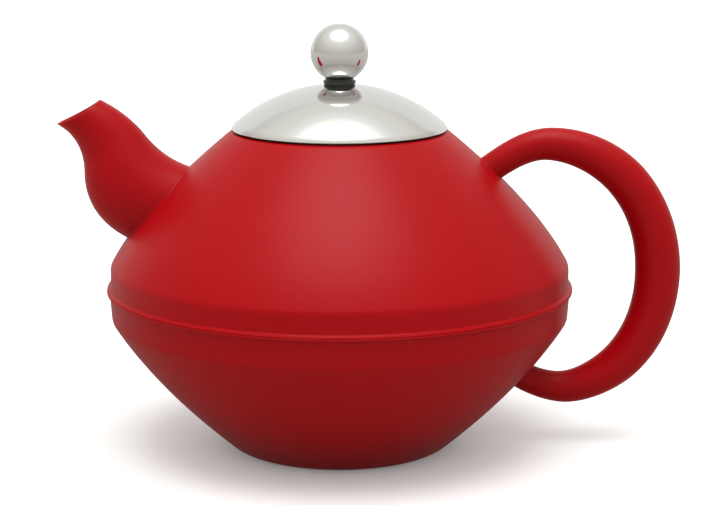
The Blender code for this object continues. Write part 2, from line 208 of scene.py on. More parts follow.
# Studio light by direction: cosine of the angle to the softbox, and what is seen there
SOFTBOX_DIRECTION = (0.0, -0.199, 0.980)
SOFTBOX_STRENGTH = 8.6
STUDIO_LIGHT = (
    (0.00, (0.64, 0.60, 0.55)),
    (0.20, (0.72, 0.69, 0.64)),
    (0.45, (0.83, 0.80, 0.75)),
    (0.66, (0.98, 0.98, 0.92)),
    (0.77, (1.03, 1.03, 0.98)),
    (0.85, (1.22, 1.22, 1.17)),
    (0.91, (1.75, 1.75, 1.70)),
    (0.93, (3.40, 3.40, 3.35)),
    (0.955, (8.60, 8.60, 8.50)),
)
BACK_WALL = (0.97, 0.97, 0.945)
FLOOR_HALF = 6000.0

# Camera, in metres, degrees and millimetres of lens
CAMERA_PLACE = (0.0089, -0.850, 0.2568)
CAMERA_TILT = 78.5
CAMERA_LENS = 100.5
CAMERA_SENSOR = 36.0
CAMERA_CLIP_END = 50.0


# Plain geometry ---------------------------------------------------------------------------------


def bezier_at(controls, t):
    row = [Vector(point) for point in controls]
    while len(row) > 1:
        row = [a.lerp(b, t) for a, b in zip(row, row[1:])]
    return row[0]


def bezier(controls, steps):
    return [tuple(bezier_at(controls, step / steps)) for step in range(steps + 1)]


def rounded(before, corner, after, radius, steps):
    """An arc that rounds a corner, tangent to the lines from it to its two neighbours."""
    corner = Vector(corner)
    back = (Vector(before) - corner).normalized()
    ahead = (Vector(after) - corner).normalized()
    half_angle = back.angle(ahead) / 2
    centre = corner + (back + ahead).normalized() * (radius / math.sin(half_angle))
    start = corner + back * (radius / math.tan(half_angle)) - centre
    end = corner + ahead * (radius / math.tan(half_angle)) - centre
    turns = [start.slerp(end, step / steps).normalized() for step in range(steps + 1)]
    return [tuple(centre + turn * radius) for turn in turns]


def smooth_corners(points, radii, steps=5):
    """An open path whose inner corners are rounded; radii has one entry for each inner point."""
    path = [tuple(points[0])]
    for before, corner, after, radius in zip(points, points[1:], points[2:], radii):
        path += rounded(before, corner, after, radius, steps) if radius else [tuple(corner)]
    return path + [tuple(points[-1])]


def parallel(path, distance):
    """The path moved to the right of its own direction, with its corners mitred."""
    points = [Vector(point) for point in path]
    moved = []
    for index, point in enumerate(points):
        sides = []
        for a, b in ((index - 1, index), (index, index + 1)):
            if a >= 0 and b < len(points):
                run = (points[b] - points[a]).normalized()
                sides.append(Vector((run.y, -run.x)))
        side = sum(sides, Vector((0, 0))).normalized()
        moved.append(tuple(point + side * (distance / side.dot(sides[0]))))
    return moved


def sheet(path, thickness):
    return list(path) + parallel(path, thickness)[::-1]


def arc(centre_height, radius, start_radius, end_radius, steps):
    start = math.asin(start_radius / radius)
    end = math.asin(end_radius / radius)
    angles = [start + (end - start) * step / steps for step in range(steps + 1)]
    return [(radius * math.sin(a), centre_height + radius * math.cos(a)) for a in angles]


# Mesh objects -----------------------------------------------------------------------------------


def mesh_object(name, verts, faces, material):
    """A smooth-shaded object in metres from points in millimetres."""
    mesh = bpy.data.meshes.new(name)
    mesh.from_pydata([tuple(c * MM for c in v) for v in verts], [], faces)
    bm = bmesh.new()
    bm.from_mesh(mesh)
    bmesh.ops.remove_doubles(bm, verts=bm.verts, dist=1e-7)
    bmesh.ops.recalc_face_normals(bm, faces=bm.faces)
    bm.to_mesh(mesh)
    bm.free()
    mesh.shade_smooth()
    mesh.set_sharp_from_angle(angle=math.radians(SHARP_ANGLE))
    made = bpy.data.objects.new(name, mesh)
    bpy.context.scene.collection.objects.link(made)
    made.data.materials.append(material)
    return made


def grid_faces(rows, columns, close_rows=False):
    faces = []
    for row in range(rows if close_rows else rows - 1):
        here, below = row * columns, (row + 1) % rows * columns
        for column in range(columns):
            after = (column + 1) % columns
            faces.append((here + column, here + after, below + after, below + column))
    return faces


def lathe(name, outline, material, turn=TURN):
    """A closed outline of (radius, height) turned about Z. Points on the axis become one vertex."""
    verts = []
    for radius, height in outline:
        for step in range(turn):
            angle = math.tau * step / turn
            verts.append((radius * math.cos(angle), radius * math.sin(angle), height))
    faces = []
    for face in grid_faces(len(outline), turn, close_rows=True):
        if any(outline[index // turn][0] != 0 for index in face):
            faces.append(face)
    return mesh_object(name, verts, faces, material)


def tube(name, lines, material, close_rows=False):
    """A skin over lines of points that run along a tube; its ends are capped unless they join."""
    rows, columns = len(lines[0]), len(lines)
    verts = [line[row] for row in range(rows) for line in lines]
    faces = grid_faces(rows, columns, close_rows)
    if not close_rows:
        faces += [tuple(range(columns)), tuple(range((rows - 1) * columns, rows * columns))]
    return mesh_object(name, verts, faces, material)


def cut_away(pieces, cutter):
    """Takes the cutter's shape out of each piece, then removes the cutter."""
    for piece in pieces:
        cut = piece.modifiers.new("cut", "BOOLEAN")
        cut.operation = "DIFFERENCE"
        cut.object = cutter
        bpy.context.view_layer.update()
        evaluated = piece.evaluated_get(bpy.context.evaluated_depsgraph_get())
        mesh = bpy.data.meshes.new_from_object(evaluated)
        piece.modifiers.clear()
        piece.data = mesh
    bpy.data.objects.remove(cutter, do_unlink=True)


def settle(piece, body, slot, *nodes):
    """Puts a piece on its body, in place of the frame's nodes. The slot is not used."""
    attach(piece, body)
    if nodes:
        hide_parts(*nodes)
    return piece


# Materials --------------------------------------------------------------------------------------


def new_material(name, colour, roughness, metallic, specular=0.5):
    material = bpy.data.materials.new(name)
    material.use_nodes = True
    shader = material.node_tree.nodes["Principled BSDF"]
    shader.inputs["Base Color"].default_value = (*colour, 1)
    shader.inputs["Roughness"].default_value = roughness
    shader.inputs["Metallic"].default_value = metallic
    shader.inputs["Specular IOR Level"].default_value = specular
    return material, material.node_tree, shader


def math_node(tree, operation, *values):
    made = tree.nodes.new("ShaderNodeMath")
    made.operation = operation
    for index, value in enumerate(values):
        if isinstance(value, (int, float)):
            made.inputs[index].default_value = value
        else:
            tree.links.new(value, made.inputs[index])
    return made.outputs[0]


def noise(tree, vector, scale, detail=2.0):
    made = tree.nodes.new("ShaderNodeTexNoise")
    made.inputs["Scale"].default_value = scale
    made.inputs["Detail"].default_value = detail
    tree.links.new(vector, made.inputs["Vector"])
    return made.outputs["Fac"]


def ranged(tree, value, to_low, to_high, from_low=0.3, from_high=0.7):
    made = tree.nodes.new("ShaderNodeMapRange")
    made.inputs["From Min"].default_value = from_low
    made.inputs["From Max"].default_value = from_high
    made.inputs["To Min"].default_value = to_low
    made.inputs["To Max"].default_value = to_high
    tree.links.new(value, made.inputs["Value"])
    return made.outputs["Result"]


def mixed(tree, factor, first, second):
    made = tree.nodes.new("ShaderNodeMix")
    made.data_type = "RGBA"
    tree.links.new(factor, made.inputs["Factor"])
    made.inputs["A"].default_value = (*first, 1)
    made.inputs["B"].default_value = (*second, 1)
    return made


def bump(tree, shader, height, strength, distance):
    made = tree.nodes.new("ShaderNodeBump")
    made.inputs["Strength"].default_value = strength
    made.inputs["Distance"].default_value = distance
    tree.links.new(height, made.inputs["Height"])
    tree.links.new(made.outputs["Normal"], shader.inputs["Normal"])


def object_space(tree):
    return tree.nodes.new("ShaderNodeTexCoord").outputs["Object"]


def split_xyz(tree, vector):
    made = tree.nodes.new("ShaderNodeSeparateXYZ")
    tree.links.new(vector, made.inputs[0])
    return made.outputs


def squared_distance(tree, x, y):
    return math_node(tree, "ADD", math_node(tree, "MULTIPLY", x, x), math_node(tree, "MULTIPLY", y, y))


def round_the_axis(tree, radial, upward, around):
    """Coordinates for marks that run round Z: distance from the axis, height and turn, each scaled."""
    x, y, z = split_xyz(tree, object_space(tree))
    distance = math_node(tree, "SQRT", squared_distance(tree, x, y))
    turn = math_node(tree, "ARCTAN2", y, x)
    joined = tree.nodes.new("ShaderNodeCombineXYZ")
    for value, scale, socket in ((distance, radial, 0), (z, upward, 1), (turn, around, 2)):
        tree.links.new(math_node(tree, "MULTIPLY", value, scale), joined.inputs[socket])
    return joined.outputs[0]


def red_coating():
    """Satin powder coat: a faint orange peel, slightly uneven colour and sheen."""
    material, tree, shader = new_material(
        "red_coating", (0.28, 0.001, 0.003), roughness=0.40, metallic=0.0, specular=0.10
    )
    place = object_space(tree)
    patches = ranged(tree, noise(tree, place, scale=14.0, detail=3.0), 0, 1)
    tint = mixed(tree, patches, (0.274, 0.0004, 0.0020), (0.287, 0.0006, 0.0028))
    tree.links.new(tint.outputs["Result"], shader.inputs["Base Color"])
    sheen = ranged(tree, noise(tree, place, scale=22.0, detail=4.0), 0.38, 0.44)
    tree.links.new(sheen, shader.inputs["Roughness"])
    bump(tree, shader, noise(tree, place, scale=1100.0), strength=0.12, distance=0.0001)
    return material


def polished_steel():
    """Mirror-polished sheet with the faintest rings left by the polishing mop."""
    material, tree, shader = new_material("polished_steel", (0.655, 0.65, 0.64), roughness=0.05, metallic=1.0)
    rings = noise(tree, round_the_axis(tree, radial=2600.0, upward=2600.0, around=1.3), scale=1.0)
    smears = noise(tree, object_space(tree), scale=34.0, detail=4.0)
    tree.links.new(ranged(tree, smears, 0.035, 0.07), shader.inputs["Roughness"])
    bump(tree, shader, rings, strength=0.015, distance=0.00002)
    return material


def satin_steel():
    """Brushed sheet: fine scratches that run round the axis."""
    material, tree, shader = new_material("satin_steel", (0.62, 0.61, 0.60), roughness=0.3, metallic=1.0)
    place = round_the_axis(tree, radial=3200.0, upward=3200.0, around=3.0)
    scratches = noise(tree, place, scale=1.0, detail=4.0)
    tint = mixed(tree, ranged(tree, scratches, 0, 1), (0.57, 0.56, 0.55), (0.66, 0.65, 0.64))
    tree.links.new(tint.outputs["Result"], shader.inputs["Base Color"])
    tree.links.new(ranged(tree, scratches, 0.26, 0.38), shader.inputs["Roughness"])
    bump(tree, shader, scratches, strength=0.12, distance=0.00004)
    return material


def black_plastic(name, dark, light, roughness_low, roughness_high):
    """Moulded black with a fine spark-eroded grain."""
    material, tree, shader = new_material(name, dark, roughness_low, metallic=0.0)
    grain = noise(tree, object_space(tree), scale=2400.0, detail=3.0)
    tint = mixed(tree, ranged(tree, grain, 0, 1), dark, light)
    tree.links.new(tint.outputs["Result"], shader.inputs["Base Color"])
    tree.links.new(ranged(tree, grain, roughness_low, roughness_high), shader.inputs["Roughness"])
    bump(tree, shader, grain, strength=0.25, distance=0.00005)
    return material


# Outer body -------------------------------------------------------------------------------------


def upper_path():
    """Down the outer side: mouth ledge, bowed cone, shoulder, short wall and the seam's fillet."""
    cone = bezier((CONE_TOP, UPPER_BOW, UPPER_CORNER), CONE_STEPS)
    wall_foot = (UPPER_CORNER[0], UPPER_FLANGE_TOP)
    path = [(LEDGE_RADIUS, LEDGE_HEIGHT)]
    path += rounded(path[0], CONE_TOP, cone[3], CONE_TOP_ROUND, LEDGE_STEPS)
    path += [point for point in cone[2:] if point[1] > UPPER_CORNER[1] + UPPER_CLEAR]
    path += rounded(UPPER_BOW, UPPER_CORNER, wall_foot, UPPER_ROUND, 10)
    path += rounded(UPPER_CORNER, wall_foot, (SEAM_RADIUS, UPPER_FLANGE_TOP), UPPER_FILLET, FILLET_STEPS)
    return path


def lower_path():
    """Down the outer side: the seam's fillet, short wall, bowed cone and rounded edge of the base."""
    cone = bezier((LOWER_CORNER, LOWER_BOW, BASE_CORNER), CONE_STEPS)
    flange_foot = (SEAM_RADIUS, LOWER_WALL_TOP[1])
    path = rounded(flange_foot, LOWER_WALL_TOP, LOWER_CORNER, LOWER_FILLET, FILLET_STEPS)
    path += rounded(LOWER_WALL_TOP, LOWER_CORNER, cone[4], LOWER_ROUND, 10)
    path += [point for point in cone[2:] if point[0] > BASE_CORNER[0] + BASE_CLEAR]
    path += rounded(cone[-3], BASE_CORNER, (0, 0), BASE_ROUND, 14)
    return path


def rounded_edge(radius, top, foot):
    """The outer edge of a seam flange, from its top to its foot."""
    outer = [(radius - 3, top), (radius, top), (radius, foot), (radius - 3, foot)]
    return smooth_corners(outer, (FLANGE_ROUND, FLANGE_ROUND), 4)[1:-1]


def body_radius_table():
    """Height and radius down both outer walls, without the mouth ledge and the seam."""
    points = upper_path()[LEDGE_POINTS:-FILLET_POINTS] + lower_path()[FILLET_POINTS:]
    return sorted((height, radius) for radius, height in points)


BODY_TABLE = body_radius_table()


def body_radius(height):
    """Radius of the outer wall at a height, leaving the seam lip out."""
    table = BODY_TABLE
    if height <= table[0][0]:
        return table[0][1]
    for (z0, r0), (z1, r1) in zip(table, table[1:]):
        if z0 <= height <= z1 and z1 > z0:
            return r0 + (r1 - r0) * (height - z0) / (z1 - z0)
    return table[-1][1]


def body_normal(point):
    slope = body_radius(point.z + 0.5) - body_radius(point.z - 0.5)  # over one millimetre
    around = Vector((point.x, point.y, 0)).normalized()
    return (around - Vector((0, 0, slope))).normalized()


def make_upper_body(red):
    path = upper_path()
    edge = rounded_edge(SEAM_RADIUS - UPPER_FLANGE_INSET, UPPER_FLANGE_TOP, UPPER_FLANGE_FOOT)
    inside = parallel(path[:-FILLET_POINTS] + [(UPPER_CORNER[0], UPPER_FLANGE_FOOT)], SHEET)
    inside[-1] = (inside[-1][0], UPPER_FLANGE_FOOT)
    body = lathe("body_upper", path + edge + inside[::-1], red)
    return settle(body, "pot", "red_coating", "outer_upper_shell")


def make_lower_body(red):
    path = lower_path()
    edge = rounded_edge(SEAM_RADIUS, UPPER_FLANGE_FOOT - SEAM_JOINT, LOWER_WALL_TOP[1])
    ring = [(BASE_FLAT_RADIUS, 0.0)] + smooth_corners(BASE_GROOVE, (1.0, 1.0), 3) + [(0.0, 0.0)]
    inside = parallel([LOWER_WALL_TOP] + path[FILLET_POINTS:], SHEET)
    inside[0] = (inside[0][0], LOWER_FLANGE_TOP)
    inside.append((BASE_FLAT_RADIUS, SHEET))
    inside += [(radius, height + SHEET) for radius, height in BASE_GROOVE[1:]] + [(0.0, SHEET)]
    body = lathe("body_lower", edge + path + ring + inside[::-1], red)
    return settle(body, "pot", "red_coating", "outer_lower_shell")


# Spout and handle: tubes whose roots run out onto the body ---------------------------------------


def crossing(point_at, inside, outside):
    """The place along a column where it leaves the body, by halving."""
    for _ in range(40):
        middle = (inside + outside) / 2
        point = point_at(middle)
        if math.hypot(point.x, point.y) < body_radius(point.z):
            inside = middle
        else:
            outside = middle
    return (inside + outside) / 2


def weld(point_at, root, step, outward):
    """Points of a smoothed weld from the body up onto a column, which leaves the body at root.

    step is the change along the column that moves a point by about a millimetre.
    """
    foot = point_at(root)
    normal = body_normal(foot)
    spread = (outward - normal * outward.dot(normal)).normalized()
    upper = point_at(root + step * WELD_REACH)
    lower = foot + spread * WELD_REACH
    points = [bezier_at((lower, foot, upper), row / WELD_ROWS) for row in range(WELD_ROWS + 1)]
    return [points[0] - normal * WELD_SINK] + points


def spout_point(place, angle, inset=0.0):
    """place runs from 0 at the root to 2 at the mouth; below 0 it goes on into the body."""
    number = min(max(int(place), 0), 1)
    along = min(max(place, 0) - number, 1.0)
    lower = bezier_at(SPOUT_LOWER[number], along)
    upper = bezier_at(SPOUT_UPPER[number], along)
    across = (upper - lower).normalized()
    half = (upper - lower).length / 2
    centre = (upper + lower) / 2
    if place < 0:
        centre += Vector((across.y, -across.x)) * (-place * SPOUT_RUN_IN)
    flat = centre + across * ((half - inset) * math.sin(angle))
    return Vector((flat.x, -(half * SPOUT_ROUNDNESS - inset) * math.cos(angle), flat.y))


def spout_column(angle):
    """From the weld out to the lip and back down the inside."""

    def outer(place):
        return spout_point(place, angle)

    def inner(place):
        return spout_point(place, angle, SPOUT_WALL)

    root = crossing(outer, -0.3, 0.6)
    outward = outer(root) - spout_point(root, angle, 10.0)
    line = weld(outer, root, SPOUT_STEP, outward)
    mouth = 2.0 - MOUTH_DIP * SPOUT_STEP * math.cos(angle) ** 2
    start, end = root + SPOUT_STEP * WELD_REACH, mouth - 0.5 * SPOUT_STEP
    line += [outer(start + (end - start) * row / SPOUT_ROWS) for row in range(1, SPOUT_ROWS + 1)]
    lip = [outer(end), outer(mouth), inner(mouth), inner(end)]
    line += [bezier_at(lip, t) for t in (0.25, 0.5, 0.75)]
    root = crossing(inner, -0.3, 0.6)
    line += [inner(end + (root - end) * row / SPOUT_ROWS) for row in range(SPOUT_ROWS + 1)]
    return line + [line[-1] - body_normal(line[-1]) * WELD_SINK]


def make_spout(red):
    lines = [spout_column(math.tau * column / SPOUT_COLUMNS) for column in range(SPOUT_COLUMNS)]
    spout = tube("spout", lines, red, close_rows=True)
    return settle(spout, "pot", "red_coating", "spout_front_half", "spout_back_half")


def handle_at(place):
    number = min(max(int(place), 0), len(HANDLE_LINE) - 1)
    return bezier_at(HANDLE_LINE[number], place - number)


def handle_point(place, angle, radius_share=1.0):
    """place runs from 0 at the top root to the number of pieces of the centre line at the foot."""
    here = handle_at(place)
    ahead = handle_at(place + 0.01) - handle_at(place - 0.01)
    along = Vector((ahead.x, ahead.y)).normalized()
    across = Vector((-along.y, along.x))
    radius = here.z * radius_share
    flat = Vector((here.x, here.y)) + across * (radius * math.sin(angle))
    return Vector((flat.x, -radius * math.cos(angle), flat.y))


def handle_column(angle):
    """From the weld at the top root to the weld at the foot."""

    def point(place):
        return handle_point(place, angle)

    last = float(len(HANDLE_LINE))
    top, foot = crossing(point, 0.0, 0.9), crossing(point, last, last - 0.9)
    welds = []
    for root, step in ((top, HANDLE_TOP_STEP), (foot, -HANDLE_FOOT_STEP)):
        outward = point(root) - handle_point(root, angle, 0.0)
        welds.append(weld(point, root, step, outward))
    start, end = top + HANDLE_TOP_STEP * WELD_REACH, foot - HANDLE_FOOT_STEP * WELD_REACH
    middle = [point(start + (end - start) * row / HANDLE_ROWS) for row in range(1, HANDLE_ROWS)]
    return welds[0] + middle + welds[1][::-1]


def make_handle(red):
    lines = [handle_column(math.tau * column / HANDLE_COLUMNS) for column in range(HANDLE_COLUMNS)]
    handle = tube("handle", lines, red)
    return settle(handle, "pot", "red_coating", "handle_front_half", "handle_back_half")


# Brewing vessel and throat ----------------------------------------------------------------------


def vessel_upper_path():
    """Down the vessel's outer side, which runs parallel to the body's, from the mouth flange."""
    cone_top, bow, corner, foot = parallel(
        (CONE_TOP, UPPER_BOW, UPPER_CORNER, (UPPER_CORNER[0], VESSEL_JOINT)), UPPER_CORNER[0] - VESSEL_RADIUS
    )
    flange = (VESSEL_FLANGE_RADIUS, VESSEL_FLANGE_TOP - SHEET)
    neck = (VESSEL_NECK_RADIUS, flange[1])
    cone = bezier(((VESSEL_NECK_RADIUS, cone_top[1]), bow, corner), VESSEL_CONE_STEPS)
    path = [flange] + rounded(flange, neck, cone[0], VESSEL_FLANGE_ROUND, 4)
    path += rounded(neck, cone[0], cone[3], VESSEL_NECK_ROUND, 5)
    path += cone[3:-2]
    path += rounded(cone[-3], corner, foot, VESSEL_ROUND, 6)
    return path + [foot]


def make_upper_vessel(steel):
    vessel = lathe("vessel_upper", sheet(vessel_upper_path(), SHEET), steel)
    return settle(vessel, "pot", "satin_steel", "inner_upper_shell")


def make_lower_vessel(steel):
    wall_top, corner, bow, base, _ = parallel(
        (LOWER_WALL_TOP, LOWER_CORNER, LOWER_BOW, BASE_CORNER, (0.0, 0.0)), VESSEL_FOOT
    )
    wall_top = (wall_top[0], VESSEL_LOWER_TOP)
    cone = bezier((corner, bow, base), VESSEL_CONE_STEPS)
    path = [wall_top] + rounded(wall_top, corner, cone[3], VESSEL_ROUND, 6) + cone[4:-3]
    path += rounded(cone[-4], base, (0.0, base[1]), VESSEL_ROUND, 6)
    floor = [(0.0, VESSEL_FOOT), (0.0, VESSEL_FOOT + SHEET)]
    vessel = lathe("vessel_lower", path + floor + parallel(path, SHEET)[::-1], steel)
    return settle(vessel, "pot", "satin_steel", "inner_lower_shell")


def throat_axis():
    lower, upper = Vector(SPOUT_LOWER[0][0]), Vector(SPOUT_UPPER[0][0])
    slope = (upper - lower).normalized()
    return (lower + upper) / 2, Vector((-slope.y, slope.x))


def along_throat(piece, start):
    """Lays a piece turned about Z along the throat, start millimetres from the spout's root."""
    root, outward = throat_axis()
    place = root + outward * start
    piece.location = (place.x * MM, 0, place.y * MM)
    piece.rotation_euler = (0, math.atan2(outward.x, outward.y), 0)
    bpy.context.view_layer.update()
    piece.data.transform(piece.matrix_world)
    piece.location = (0, 0, 0)
    piece.rotation_euler = (0, 0, 0)
    return piece


def make_throat(steel, shells):
    """The tube from the vessel to the spout, and the holes that it passes through."""
    inner, outer, length = THROAT_RADIUS - SHEET, THROAT_RADIUS, THROAT_LENGTH
    corners = [(inner, 0.0), (inner, length), (outer, length), (outer, 0.0), (inner, 0.0)]
    outline = smooth_corners(corners, (THROAT_EDGE_ROUND,) * 3, 3)[:-1]
    liner = along_throat(lathe("throat_liner", outline[::-1], steel, 96), THROAT_START)
    settle(liner, "pot", "satin_steel", "throat_tube")
    start, depth = THROAT_DRILL
    hole = THROAT_RADIUS + THROAT_AIR
    outline = [(0, depth), (hole, depth), (hole, 0), (0, 0)]
    cut_away(shells, along_throat(lathe("throat_drill", outline, steel, 96), start))


# Lid and knob -----------------------------------------------------------------------------------


def make_lid(polished):
    foot_rise, foot_round, tuck_in = 0.15, 0.08, 0.5
    edge = arc(DOME_CENTRE, DOME_RADIUS, LID_HOLE, LID_BEND[0][0], 60)
    foot = (LID_RADIUS, LID_FOOT + foot_rise)
    edge += bezier((*LID_BEND, foot), 6)[1:]
    tuck = (LID_RADIUS - tuck_in, LID_FOOT)
    path = edge[:-1] + rounded(edge[-2], foot, tuck, foot_round, 4) + [tuck]
    inside = parallel(edge, LID_SHEET)[:-1]
    inside = [point for point in inside if point[1] > LID_FOOT + 2 * foot_rise]
    inside.append((LID_RADIUS - 2 * tuck_in, LID_FOOT))
    lid = lathe("lid_cap", path + inside[::-1], polished, 256)
    return settle(lid, "lid", "polished_steel", "lid_dome")


def skirt(flange_radius, top, radius, foot):
    """Outline of a straight skirt whose top is turned out into a flange."""
    seat = top - SKIRT_SHEET
    path = [(flange_radius, seat)]
    path += rounded(path[0], (radius, seat), (radius, foot), SKIRT_ROUND, 5)
    return sheet(path + [(radius, foot)], SKIRT_SHEET)


def make_collar(satin):
    outline = skirt(COLLAR_FLANGE_RADIUS, COLLAR_TOP, COLLAR_RADIUS, COLLAR_FOOT)
    return settle(lathe("lid_skirt", outline, satin), "lid", "satin_steel", "lid_collar")


def make_ball(polished):
    seat = math.acos((BALL_SEAT - BALL_CENTRE) / BALL_RADIUS)
    steps = 72
    angles = [seat * step / steps for step in range(steps + 1)]
    ball = [(BALL_RADIUS * math.sin(a), BALL_CENTRE + BALL_RADIUS * math.cos(a)) for a in angles]
    radius, thread_end, drill_tip = BALL_BORE
    bore = [(radius, BALL_SEAT), (radius, thread_end), (0.0, drill_tip)]
    return settle(lathe("knob", ball + bore, polished, 128), "lid", "polished_steel", "knob_ball")


def make_bush(plastic):
    air, neck_round, ring_round, foot_round = 0.02, 0.1, 0.45, 0.05
    foot = GASKET_TOP + air
    path = [
        (KNOB_HOLE, NECK_TOP), (BUSH_NECK_RADIUS, NECK_TOP), (BUSH_NECK_RADIUS, BUSH_RING_TOP),
        (SPACER_RADIUS, BUSH_RING_TOP), (SPACER_RADIUS, foot), (KNOB_HOLE, foot),
    ]
    outline = smooth_corners(path, (neck_round, neck_round, ring_round, foot_round))
    return settle(lathe("heat_bush", outline, plastic, 96), "lid", "black_bush", "knob_bush")


def make_gasket(silicone):
    """A ring that tapers down onto the dome."""
    air, top_inset, seat_inset, edge_round = 0.05, 0.05, 0.5, 0.05
    seat = arc(DOME_CENTRE, DOME_RADIUS + air, KNOB_HOLE, SPACER_RADIUS - seat_inset, 8)[::-1]
    path = [(KNOB_HOLE, GASKET_TOP), (SPACER_RADIUS - top_inset, GASKET_TOP), seat[0]]
    outline = smooth_corners(path, (edge_round,), 4)[:-1] + seat
    return settle(lathe("lid_gasket", outline, silicone, 96), "lid", "black_gasket", "knob_gasket")


def make_washer(name, node_name, satin):
    outer, foot, top = high(node_name).x, low(node_name).z, high(node_name).z
    path = [(KNOB_HOLE, top), (outer, top), (outer, foot), (KNOB_HOLE, foot)]
    outline = smooth_corners(path, (WASHER_ROUND, WASHER_ROUND), 3)
    return settle(lathe(name, outline, satin, 64), "lid", "satin_steel", node_name)


def make_screw(satin):
    """A slotted screw that comes up through the lid, with its head on the washers."""
    shank, head = SCREW_RADIUS, SCREW_HEAD_RADIUS
    crown = rounded((head, SCREW_HEAD_TOP), (head, SCREW_FOOT), (0.0, SCREW_FOOT), SCREW_HEAD_ROUND, 6)
    path = [
        (0.0, SCREW_END), (shank - SCREW_CHAMFER, SCREW_END), (shank, SCREW_END - SCREW_CHAMFER),
        (shank, SCREW_HEAD_TOP), (head, SCREW_HEAD_TOP),
    ]
    screw = lathe("lid_screw", path + crown + [(0.0, SCREW_FOOT)], satin, 48)
    half, levels = SCREW_SLOT / 2, (SCREW_FOOT - 1, SCREW_FOOT + SCREW_SLOT)
    corners = [(x, y, z) for x in (-5, 5) for y in (-half, half) for z in levels]
    faces = [(0, 1, 3, 2), (4, 6, 7, 5), (0, 4, 5, 1), (2, 3, 7, 6), (0, 2, 6, 4), (1, 5, 7, 3)]
    cut_away([screw], mesh_object("screw_slot", corners, faces, satin))
    return settle(screw, "lid", "satin_steel", "knob_screw")


# Infuser ----------------------------------------------------------------------------------------


def perforated(name, place, columns, rows, plain_rows, hole_share, material):
    """A sheet with a round hole in each cell, except in the rows of plain_rows.

    place(u, v, side) gives the point at column u and row v, on side 0 or 1 of the sheet.
    hole_share(row) gives a hole's radius as shares of its cell's width and height. A cell has 16
    vertices on each side: 8 round its border, then 8 round its hole.
    """
    border = [(0, 0), (0.5, 0), (1, 0), (1, 0.5), (1, 1), (0.5, 1), (0, 1), (0, 0.5)]
    sides = (0, 16)
    verts, faces = [], []

    def face(first, *offsets):
        faces.append(tuple(first + offset for offset in offsets))

    for row in range(rows):
        rim_u, rim_v = hole_share(row)
        for column in range(columns):
            first = len(verts)
            for side in (0, 1):
                verts += [place(column + u, row + v, side) for u, v in border]
                for index in range(8):
                    angle = math.pi * (index / 4 - 0.75)
                    u, v = 0.5 + rim_u * math.cos(angle), 0.5 + rim_v * math.sin(angle)
                    verts.append(place(column + u, row + v, side))
            if row in plain_rows:
                for side in sides:
                    face(first + side, *range(8))
            else:
                for index in range(8):
                    after = (index + 1) % 8
                    for side in sides:
                        face(first + side, index, after, after + 8, index + 8)
                    face(first, index + 8, after + 8, after + 24, index + 24)
            if row == 0:
                for a in (0, 1):
                    face(first, a, a + 1, a + 17, a + 16)
            if row == rows - 1:
                for a in (4, 5):
                    face(first, a, a + 1, a + 17, a + 16)
    return mesh_object(name, verts, faces, material)


def make_infuser_rim(satin):
    outline = skirt(INFUSER_RIM_RADIUS, INFUSER_RIM_TOP, INFUSER_SKIRT_RADIUS, INFUSER_SKIRT_FOOT)
    return settle(lathe("strainer_rim", outline, satin), "infuser", "satin_steel", "infuser_rim")


def make_infuser_wall(satin):
    columns, rows = WALL_HOLES
    plain = {0, 1, rows - 2, rows - 1}
    tall = (INFUSER_TOP - INFUSER_FOOT) / rows
    wide = math.tau * INFUSER_RADIUS / columns

    def place(u, v, side):
        angle = math.tau * (u % columns) / columns
        radius = INFUSER_RADIUS - side * INFUSER_SHEET
        return (radius * math.cos(angle), radius * math.sin(angle), INFUSER_FOOT + v * tall)

    def hole(_row):
        return HOLE_RADIUS / wide, HOLE_RADIUS / tall

    wall = perforated("strainer_wall", place, columns, rows, plain, hole, satin)
    return settle(wall, "infuser", "satin_steel", "infuser_wall")


def make_infuser_floor(satin):
    """A perforated ring between a rounded edge and a plain middle."""
    around, rings = FLOOR_HOLES
    inner, outer = FLOOR_HOLES_FROM, FLOOR_HOLES_TO
    pitch = (outer - inner) / rings
    foot, top = INFUSER_FLOOR, INFUSER_FLOOR + INFUSER_SHEET

    def place(u, v, side):
        angle = math.tau * (u % around) / around
        radius = outer - v * pitch
        return (radius * math.cos(angle), radius * math.sin(angle), foot + side * INFUSER_SHEET)

    def hole(row):
        round_ring = math.tau * (outer - (row + 0.5) * pitch)
        size = min(HOLE_RADIUS, HOLE_SHARE * round_ring / around)
        return size * around / round_ring, size / pitch

    mesh = perforated("strainer_floor_mesh", place, around, rings, set(), hole, satin)
    lip, corner = (INFUSER_FLOOR_RADIUS, INFUSER_FLOOR_TOP), (INFUSER_FLOOR_RADIUS, foot)
    path = [lip] + rounded(lip, corner, (0.0, foot), INFUSER_FLOOR_ROUND, 6)
    path.append((outer - FLOOR_OVERLAP, foot))
    edge = lathe("strainer_floor_edge", sheet(path, INFUSER_SHEET), satin, 96)
    reach = inner + FLOOR_OVERLAP
    disc = lathe("strainer_floor_middle", [(0.0, top), (reach, top), (reach, foot), (0.0, foot)], satin, 96)
    settle(edge, "infuser", "satin_steel", "infuser_floor")
    for piece in (mesh, disc):
        settle(piece, "infuser", "satin_steel")


# Studio -----------------------------------------------------------------------------------------


def floor_plane(name, height, colour, worn_colour):
    material, tree, shader = new_material(name, colour, roughness=0.9, metallic=0.0, specular=0.1)
    patches = ranged(tree, noise(tree, object_space(tree), scale=2.0), 0, 1)
    tone = mixed(tree, patches, colour, worn_colour)
    tree.links.new(tone.outputs["Result"], shader.inputs["Base Color"])
    near, far = -FLOOR_HALF, FLOOR_HALF
    corners = [(near, near, height), (far, near, height), (far, far, height), (near, far, height)]
    plane = mesh_object(name, corners, [(0, 1, 2, 3)], material)
    return plane


